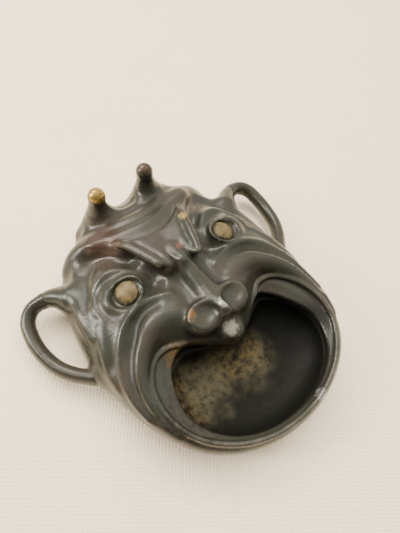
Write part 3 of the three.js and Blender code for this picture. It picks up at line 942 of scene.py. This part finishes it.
# %% Clouds of patina
def clouds_group():
    inputs = [("Cloud Scale", "NodeSocketFloat", 60.0), ("Grain Scale", "NodeSocketFloat", 1800.0)]
    tree, given, made, place = shader_group("patina_clouds", inputs, ("Clouds", "Blush", "Grain"))
    wide = sums(tree, "MULTIPLY_ADD", given["Cloud Scale"], 0.45, 7.0)
    tree.links.new(noise(tree, place, given["Cloud Scale"], 5.0), made["Clouds"])
    tree.links.new(ramp(tree, noise(tree, place, wide, 2.0), 0.48, 0.66), made["Blush"])
    tree.links.new(noise(tree, place, given["Grain Scale"], 2.0), made["Grain"])
    return tree


# %% [markdown]
# Rubbing needs to know where the ridges are, so it reads the bend of the clay that each casting's
# points carry. Noise makes its edge uneven, as a hand does.


# %% Rubbed ridges and grimy grooves
def rubbing_group():
    inputs = [("Rub Starts", "NodeSocketFloat", 0.6), ("Rub Full", "NodeSocketFloat", 1.7),
              ("Grime Starts", "NodeSocketFloat", -0.08), ("Grime Full", "NodeSocketFloat", -0.7)]
    tree, given, made, place = shader_group("rubbing", inputs, ("Rubbed", "Grime"))
    bend = put(tree, "ShaderNodeAttribute", attribute_name="ridge").outputs["Fac"]
    uneven = sums(tree, "MULTIPLY_ADD", noise(tree, place, 260.0, 4.0), 1.1, -0.55)
    ragged = sums(tree, "ADD", bend, uneven)
    tree.links.new(ramp(tree, ragged, given["Rub Starts"], given["Rub Full"]), made["Rubbed"])
    less = sums(tree, "MULTIPLY_ADD", uneven, 0.3, 0.0)
    deep = sums(tree, "ADD", bend, less)
    clean = ramp(tree, deep, given["Grime Full"], given["Grime Starts"])
    tree.links.new(opposite(tree, clean), made["Grime"])
    return tree


# %% [markdown]
# A spot is a distance from a centre, measured in its own radius, with noise on it to make it ragged.


# %% A spot with a ragged edge
def spot_group():
    inputs = [("Centre", "NodeSocketVector", (0, 0, 0)), ("Radius", "NodeSocketFloat", 0.003),
              ("Softness", "NodeSocketFloat", 0.5), ("Ragged Scale", "NodeSocketFloat", 700.0)]
    tree, given, made, place = shader_group("ragged_spot", inputs, ("Mask",))
    gap = put(tree, "ShaderNodeVectorMath", {0: place, 1: given["Centre"]}, operation="DISTANCE")
    share = sums(tree, "DIVIDE", gap.outputs["Value"], given["Radius"])
    ragged = sums(tree, "MULTIPLY_ADD", noise(tree, place, given["Ragged Scale"], 4.0), 1.4, -0.7)
    reach = sums(tree, "ADD", share, ragged)
    outside = ramp(tree, reach, opposite(tree, given["Softness"]), 1.05)
    tree.links.new(opposite(tree, outside), made["Mask"])
    return tree


clouds_tree, rubbing_tree, spot_tree = clouds_group(), rubbing_group(), spot_group()
print("three shared effects are built")


# %% [markdown]
# A material places the groups it needs with values of its own, mixes its colour, and hands it all to
# the shader.


# %% Placing a group in a material
def placed(tree, group, **values):
    """A group in a material; underscores in the names of its inputs stand for spaces."""
    node = put(tree, "ShaderNodeGroup", node_tree=group)
    for name, value in values.items():
        node.inputs[name.replace("_", " ")].default_value = value
    return node.outputs


def spot_mask(tree, centre, radius, **values):
    """A spot, bare metal or painted light, with its centre and radius in millimetres."""
    middle = [part * MM for part in centre]
    return placed(tree, spot_tree, Centre=middle, Radius=radius * MM, **values)["Mask"]


def new_finish(name):
    finish = bpy.data.materials.new(name)
    finish.use_nodes = True
    return finish, finish.node_tree


def feed_shader(tree, height, strength, depth, **values):
    """Give the shader a bump and its other inputs, each a value or another node's output."""
    bump = put(tree, "ShaderNodeBump", {"Height": height, "Strength": strength, "Distance": depth})
    shader = tree.nodes["Principled BSDF"].inputs
    tree.links.new(bump.outputs["Normal"], shader["Normal"])
    for name, value in values.items():
        socket = shader[name.replace("_", " ")]
        if isinstance(value, bpy.types.NodeSocket):
            tree.links.new(value, socket)
        else:
            socket.default_value = value


# %% [markdown]
# ## Brown bronze
# The patina is a dark olive brown with umber clouds and a red blush where the copper shows. Ridges are
# rubbed paler and shinier, grooves hold dull grime. A few places have a history of their own: the brass
# shows on one horn's tip and on the frown, a nostril's rim and the lip are coppery, the nose and the
# lip's middle are rubbed pale, and the chin's rim has a grey chip. Some are painted light: the lip's
# copper is partly a painted warm reflection, the pale nose and lip's middle carry painted highlights,
# and the jaw has a painted shade. Each is a spot with its own centre, radius and colour. The bright ones
# are bare metal; the dark ones only tint the patina.

# %% Bronze finish
OLIVE = (0.031, 0.032, 0.023, 1)
UMBER = (0.037, 0.034, 0.0245, 1)
BLUSH = (0.066, 0.042, 0.03, 1)
RUBBED = (0.25, 0.23, 0.185, 1)
GRIME = (0.009, 0.009, 0.0065, 1)
BRASS = (0.42, 0.27, 0.075, 1)
# Soot that is also painted shade, for the far side of the lip's slope.
SOOT_AND_SHADE = (0.016, 0.015, 0.012, 1)
CHIP_GREY = (0.24, 0.23, 0.225, 1)
# Painted shade, used only to darken the jaw.
SHADE = (0.012, 0.0115, 0.008, 1)
BARE_METAL_FROM = 0.15

BLUSH_SHARE = 0.2
SOOT_AND_SHADE_SHARE = 0.9
RUBBED_SHARE = 0.55
PATINA_METALLIC = 0.25
BARE_METALLIC_MORE = 0.5

# Across, along and up in millimetres, then radius, softness and colour.
WORN_AND_PAINTED_SPOTS = {
    "brow_blush": (-20, 38, 29, 13, 0.9, (0.06, 0.034, 0.024, 1)),
    "frown_blush": (-4, 24, 33, 15, 0.9, (0.042, 0.034, 0.026, 1)),
    "frown_brass": (11.9, 27.9, 34, 2.1, 0.5, (0.36, 0.24, 0.085, 1)),
    "frown_copper": (2.4, 17.6, 34.6, 2.3, 0.7, (0.1, 0.052, 0.035, 1)),
    "nostril_copper": (-10.6, -6.6, 35, 3.4, 0.7, (0.22, 0.12, 0.05, 1)),
    # Coppery, and partly a painted warm reflection inside the upper lip.
    "lip_copper_and_reflection": (-20, -12, 20, 7, 0.9, (0.12, 0.07, 0.028, 1)),
    "lip_copper_and_reflection_middle": (-11.5, -14, 21, 5, 0.9, (0.1, 0.062, 0.028, 1)),
    # Rubbed bare metal, with a painted highlight in their pale colour.
    "lip_boss_rub_and_highlight": (-0.4, -17.6, 28.8, 3.6, 0.7, (0.36, 0.335, 0.28, 1)),
    "nose_tip_rub_and_highlight": (0.9, -9.8, 36.6, 2.6, 0.7, (0.42, 0.4, 0.35, 1)),
    "chin_chip": (12.6, -56.4, 22.6, 3.0, 0.3, CHIP_GREY),
    # Painted shade: the lower left side of the jaw, darkened where less light falls on it.
    "jaw_shade": (-37, -33, 10, 24, 1.0, SHADE),
}


def patina_and_shade_colour(tree, clouds, rubbing):
    colour = blended(tree, ramp(tree, clouds["Clouds"], 0.36, 0.66), OLIVE, UMBER)
    colour = blended(tree, sums(tree, "MULTIPLY", clouds["Blush"], BLUSH_SHARE), colour, BLUSH)
    colour = blended(tree, rubbing["Grime"], colour, GRIME)
    # Soot and painted shade on the far side of the lip's slope.
    soot_and_shade = put(tree, "ShaderNodeAttribute", attribute_name="soot_and_shade").outputs["Fac"]
    colour = blended(tree, sums(tree, "MULTIPLY", soot_and_shade, SOOT_AND_SHADE_SHARE), colour, SOOT_AND_SHADE)
    return blended(tree, sums(tree, "MULTIPLY", rubbing["Rubbed"], RUBBED_SHARE), colour, RUBBED)


def bronze_finish(name, spots, flecked=False):
    finish, tree = new_finish(name)
    clouds = placed(tree, clouds_tree, Cloud_Scale=70.0, Grain_Scale=2200.0)
    rubbing = placed(tree, rubbing_tree)
    colour = patina_and_shade_colour(tree, clouds, rubbing)
    bare = rubbing["Rubbed"]
    for x, y, z, radius, softness, tint in spots:
        mask = spot_mask(tree, (x, y, z), radius, Softness=softness)
        if flecked:
            flecks = ramp(tree, noise(tree, own_place(tree), 900.0), 0.56, 0.66)
            mask = sums(tree, "MULTIPLY", mask, opposite(tree, flecks))
        colour = blended(tree, mask, colour, tint)
        if max(tint[:3]) > BARE_METAL_FROM:
            bare = sums(tree, "MAXIMUM", bare, mask)
    dull = sums(tree, "MULTIPLY_ADD", clouds["Clouds"], 0.16, 0.15)
    dull = sums(tree, "MULTIPLY_ADD", rubbing["Grime"], 0.25, dull)
    dull = sums(tree, "MULTIPLY_ADD", clouds["Grain"], 0.08, dull)
    height = sums(tree, "MULTIPLY_ADD", clouds["Grain"], 0.25, clouds["Clouds"])
    metallic = sums(tree, "MULTIPLY_ADD", bare, BARE_METALLIC_MORE, PATINA_METALLIC)
    feed_shader(tree, height, 0.5, 0.0005, Base_Color=colour, Roughness=dull, Metallic=metallic)
    print(name, len(tree.nodes), "nodes")
    return finish


bronze = bronze_finish("bronze_brown_patina", WORN_AND_PAINTED_SPOTS.values())

# %% [markdown]
# ## Horns with worn tips
# The horns take the same bronze, but their tips are what a hand finds first: one is rubbed down to
# yellow brass and the other has a reddish shine. They get the bronze finish with one more spot each.

# %% Horn finishes
left_tip, right_tip = horn_axis(-1, HORN_TOP - 1.5), horn_axis(1, HORN_TOP - 1.5)
left_horn_bronze = bronze_finish("bronze_brass_tip", [(*left_tip, 4.1, 0.2, BRASS)], flecked=True)
right_horn_bronze = bronze_finish("bronze_red_tip", [(*right_tip, 4.0, 0.9, (0.085, 0.045, 0.03, 1))])

# %% [markdown]
# ## The dish
# Years of ash have left the dish matt and nearly black, with brassy dust where it is wiped most: near
# the left wall and in the middle of the floor. The black left on the right and at the bottom is also
# painted shade. The wiped places are soft spots broken up by grain.

# %% Dish finish
# Nearly black with ash, and also painted shade where no film or wipe is laid.
DISH_BLACK_AND_SHADE = (0.005, 0.0052, 0.0035, 1)
DISH_OLIVE = (0.092, 0.079, 0.045, 1)
DISH_BRASS = (0.135, 0.098, 0.042, 1)
FILMED_PLACES = [(-19, -26, 6, 17), (-8, -24, 5, 16), (4, -28, 4, 16)]
WIPED_PLACES = [(-24, -21, 10, 7), (-25, -31, 10, 8), (-2, -25, 4, 10), (7, -27, 3, 9)]


def spots_together(tree, places, softness, ragged_scale):
    """The union of several soft spots."""
    together = None
    for x, y, z, radius in places:
        mask = spot_mask(tree, (x, y, z), radius, Softness=softness, Ragged_Scale=ragged_scale)
        together = mask if together is None else sums(tree, "MAXIMUM", together, mask)
    return together


def dish_finish(name):
    finish, tree = new_finish(name)
    clouds = placed(tree, clouds_tree, Cloud_Scale=420.0, Grain_Scale=1900.0)
    filmed = spots_together(tree, FILMED_PLACES, 1.0, 120.0)
    wiped = spots_together(tree, WIPED_PLACES, 1.0, 260.0)
    dust = sums(tree, "MULTIPLY_ADD", clouds["Grain"], 0.5, clouds["Clouds"])
    film = sums(tree, "MULTIPLY", filmed, ramp(tree, dust, 0.35, 0.95))
    brass = sums(tree, "MULTIPLY", wiped, ramp(tree, dust, 0.6, 0.95))
    colour = blended(tree, brass, blended(tree, film, DISH_BLACK_AND_SHADE, DISH_OLIVE), DISH_BRASS)
    dull = sums(tree, "MULTIPLY_ADD", clouds["Clouds"], 0.25, 0.48)
    metallic = sums(tree, "MULTIPLY_ADD", wiped, 0.4, 0.1)
    feed_shader(tree, dust, 0.6, 0.0004, Base_Color=colour, Roughness=dull, Metallic=metallic,
                Specular_IOR_Level=0.25)
    print(name, len(FILMED_PLACES), "filmed and", len(WIPED_PLACES), "wiped places")
    return finish


dish_black_and_shade = dish_finish("dish_black_and_shade_patina")

# %% [markdown]
# ## The eyes
# The studs were left yellow and have gone dull: grey film over brass, and darker towards the rim. The
# film is the shared clouds; the rim is a spot turned inside out.

# %% Eye finish
EYE_BRASS = (0.17, 0.118, 0.045, 1)
EYE_FILM = (0.098, 0.076, 0.035, 1)
EYE_RIM = (0.04, 0.033, 0.019, 1)


def eye_finish(name, side):
    finish, tree = new_finish(name)
    clouds = placed(tree, clouds_tree, Cloud_Scale=420.0, Grain_Scale=2600.0)
    top = (side * EYE_PLACE[0], EYE_PLACE[1], EYE_PLACE[2] + EYE_DOME)
    centre = spot_mask(tree, top, 5.0, Softness=0.35)
    colour = blended(tree, ramp(tree, clouds["Clouds"], 0.34, 0.68), EYE_FILM, EYE_BRASS)
    colour = blended(tree, centre, EYE_RIM, colour)
    dull = sums(tree, "MULTIPLY_ADD", clouds["Clouds"], 0.2, 0.42)
    feed_shader(tree, clouds["Clouds"], 0.5, 0.0004, Base_Color=colour, Roughness=dull, Metallic=0.35)
    return finish


SIDE_WORDS = ((-1, "left"), (1, "right"))
eye_brass = {side: eye_finish("eye_dull_brass_" + word, side) for side, word in SIDE_WORDS}
print("eye finishes:", [finish.name for finish in eye_brass.values()])

# %% [markdown]
# ## Making the horns and ears
# Each takes its centre line from the same function as its stub on the head, so the two meet without
# any fitting. An ear's bar starts well inside its stub's fillet; a horn's peg starts inside its own.


# %% Ear loops and horn pegs
def horn_peg_line(side):
    """The peg's centre line, and its radius as a share, closing in a round tip."""
    shoulder_height = HORN_TOP - HORN_RADIUS
    shaft = np.linspace(HORN_PART - 1, shoulder_height, 6)
    turn = np.linspace(0.12, math.pi / 2, 12)
    heights = np.concatenate([shaft, shoulder_height + HORN_RADIUS * np.sin(turn)])
    shares = np.concatenate([np.ones(6), np.maximum(np.cos(turn), 0.02)])
    return [horn_axis(side, height) for height in heights], shares


END_SLIMMER = 0.16


def buried_ends(thickness, steps, both):
    """Slim the ends that lie inside the head, so that only an even flank comes out of it."""
    count = np.arange(len(thickness))
    depth = np.minimum(count, count[::-1]) if both else count
    return np.array(thickness) * (1 - END_SLIMMER * np.clip(1 - depth / steps, 0, 1))


pieces = {"mask_casting": mask, "mouth_bowl": bowl}
for side, word, horn_bronze in ((-1, "left", left_horn_bronze), (1, "right", right_horn_bronze)):
    line, thickness = ear_line(side)
    beyond = np.abs(line[:, 0]) > EAR_PART - 4
    thickness = buried_ends(thickness[beyond], 2.5, both=True)
    pieces[word + "_ear_loop"] = swept_bar(word + "_ear", line[beyond], thickness, EAR_HALF_WIDTH,
                                           EAR_HALF_DEPTH, bronze)
    line, thickness = horn_peg_line(side)
    pieces[word + "_horn"] = swept_bar(word + "_horn_peg", line, buried_ends(thickness, 2, both=False),
                                       HORN_RADIUS, HORN_RADIUS, horn_bronze, sides=48)

# %% [markdown]
# ## Turning the eye studs
# A stud is a shank with a shallow domed head, so it is turned: a profile of radii and heights is spun
# round an upright line. The rings are written as faces directly, which keeps the poles closed.


# %% Eye studs
def turned(name, profile, place, tilt, steps=64):
    """Spin a profile that starts and ends on the axis, tilt it sideways and set it down at its place."""
    rings = profile[1:-1]
    turns = [2 * math.pi * k / steps for k in range(steps)]
    points = [(r * math.cos(t), r * math.sin(t), h) for r, h in rings for t in turns]
    low, high = len(points), len(points) + 1
    points += [(0, 0, profile[0][1]), (0, 0, profile[-1][1])]
    top = (len(rings) - 1) * steps
    faces = []
    for k in range(steps):
        after = (k + 1) % steps
        faces += [(i + k, i + after, i + steps + after, i + steps + k) for i in range(0, top, steps)]
        faces += [(low, after, k), (high, top + k, top + after)]
    cosine, sine = math.cos(tilt), math.sin(tilt)
    moved = [(x * cosine + z * sine + place[0], y + place[1], z * cosine - x * sine + place[2])
             for x, y, z in points]
    mesh = bpy.data.meshes.new(name)
    mesh.from_pydata([(x * MM, y * MM, z * MM) for x, y, z in moved], [], faces)
    mesh.shade_smooth()
    piece = bpy.data.objects.new(name, mesh)
    bpy.context.scene.collection.objects.link(piece)
    print(name, len(faces), "faces")
    return piece


SHANK_RADIUS = 2.2
dome_radius = (EYE_RADIUS**2 + EYE_DOME**2) / (2 * EYE_DOME)
dome_turns = np.linspace(math.asin(EYE_RADIUS / dome_radius), 0, 14)
stud_profile = [(0, -6), (SHANK_RADIUS - 0.2, -6), (SHANK_RADIUS, -5.8), (SHANK_RADIUS, -2),
                (EYE_RADIUS - 0.4, -1.8), (EYE_RADIUS, -1.3)]
stud_profile += [(dome_radius * math.sin(t), EYE_DOME - dome_radius * (1 - math.cos(t)))
                 for t in dome_turns]
for side, word in SIDE_WORDS:
    place = (side * EYE_PLACE[0], *EYE_PLACE[1:])
    stud = turned(word + "_eye_stud", stud_profile, place, side * EYE_TILT)
    stud.data.materials.append(eye_brass[side])
    pieces[word + "_eye"] = stud

# %% [markdown]
# ## The cloth
# The tray lies on a pale woven cloth. The cloth is only a floor: one flat face with a weave in its
# finish, made of two sets of waves that cross. It lies a tenth of a millimetre low, so that it doesn't
# fight with the flat back of the casting for the same place.

# %% Table cloth
CLOTH_SIDE = 1.4
CLOTH_GAP = 0.0001
CLOTH_TURN = math.radians(-38)
THREADS = 240.0
CLOTH_SHADED = (0.93, 0.77, 0.54, 1)
CLOTH_PALE = (0.96, 0.84, 0.62, 1)

half = CLOTH_SIDE / 2
corners = [(x * half, y * half, -CLOTH_GAP) for x, y in ((-1, -1), (1, -1), (1, 1), (-1, 1))]
floor_mesh = bpy.data.meshes.new("table_cloth")
floor_mesh.from_pydata(corners, [], [(0, 1, 2, 3)])
floor = bpy.data.objects.new("table_cloth", floor_mesh)
bpy.context.scene.collection.objects.link(floor)
floor.rotation_euler = (0, 0, CLOTH_TURN)


def threads(tree, way):
    feeds = {"Vector": own_place(tree), "Scale": THREADS, "Distortion": 1.5, "Detail": 1.0,
             "Detail Scale": 0.6}
    return put(tree, "ShaderNodeTexWave", feeds, bands_direction=way).outputs[1]


def cloth_finish(name):
    finish, tree = new_finish(name)
    clouds = placed(tree, clouds_tree, Cloud_Scale=14.0, Grain_Scale=900.0)
    weave = sums(tree, "MULTIPLY", threads(tree, "X"), threads(tree, "Y"))
    height = sums(tree, "MULTIPLY_ADD", weave, 0.8, clouds["Grain"])
    colour = blended(tree, clouds["Clouds"], CLOTH_SHADED, CLOTH_PALE)
    feed_shader(tree, height, 0.6, 0.0004, Base_Color=colour, Roughness=0.9)
    return finish


floor_mesh.materials.append(cloth_finish("pale_cloth"))
print("cloth", CLOTH_SIDE, "m square")

# %% [markdown]
# ## Room and lights
# A dark glossy object is seen by what it reflects. So the room isn't even: it is bright past the crown
# and dim towards the lower left, which lets the jaw go dark. A tall window stands low on the left and
# draws the long highlights on the temple and lips, and a weaker skylight above the crown picks out the
# nose and the plate. The third light only fills the shadows, and isn't mirrored in the gloss.

# %% Room and lights
BRIGHT_WAY = (0.58, 0.72, 0.38)
DIM_ROOM = 0.1
BRIGHT_ROOM = 1.15
ROOM_COLOUR = (1.0, 0.955, 0.89, 1)
LIGHT_COLOUR = (1, 0.95, 0.88)
LIGHTS_AIM = Vector((0, 0, 0.02))

world = bpy.data.worlds.new("studio")
bpy.context.scene.world = world
world.use_nodes = True
sky = world.node_tree
background = sky.nodes["Background"].inputs
background["Color"].default_value = ROOM_COLOUR
look_way = sky.nodes.new("ShaderNodeTexCoord").outputs["Generated"]
facing = put(sky, "ShaderNodeVectorMath", {0: look_way, 1: BRIGHT_WAY}, operation="DOT_PRODUCT")
lit = ramp(sky, facing.outputs["Value"], -0.75, 0.85)
sky.links.new(sums(sky, "MULTIPLY_ADD", lit, BRIGHT_ROOM - DIM_ROOM, DIM_ROOM), background["Strength"])


def soft_light(name, place, size, power, mirrored_in_gloss=True):
    data = bpy.data.lights.new(name, "AREA")
    data.shape = "RECTANGLE"
    data.size, data.size_y = size
    data.energy = power
    data.color = LIGHT_COLOUR
    lamp = bpy.data.objects.new(name, data)
    lamp.location = place
    lamp.rotation_euler = (LIGHTS_AIM - Vector(place)).to_track_quat("-Z", "Y").to_euler()
    lamp.visible_glossy = mirrored_in_gloss
    bpy.context.scene.collection.objects.link(lamp)
    print(name, power, "W")


soft_light("window", (-0.52, 0.36, 0.36), (0.11, 0.4), 5)
soft_light("skylight", (-0.05, 0.42, 0.54), (0.34, 0.2), 3)
soft_light("room", (0.2, 0.15, 0.75), (0.7, 0.7), 14, mirrored_in_gloss=False)

# %% [markdown]
# ## Riding and replacing
# Every finished piece says which body carries it, and the plain node it stands for is hidden.

# %% Ride and replace
mask.data.materials.append(bronze)
bowl.data.materials.append(dish_black_and_shade)
for node, piece in pieces.items():
    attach(piece, "root")
    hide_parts(node)
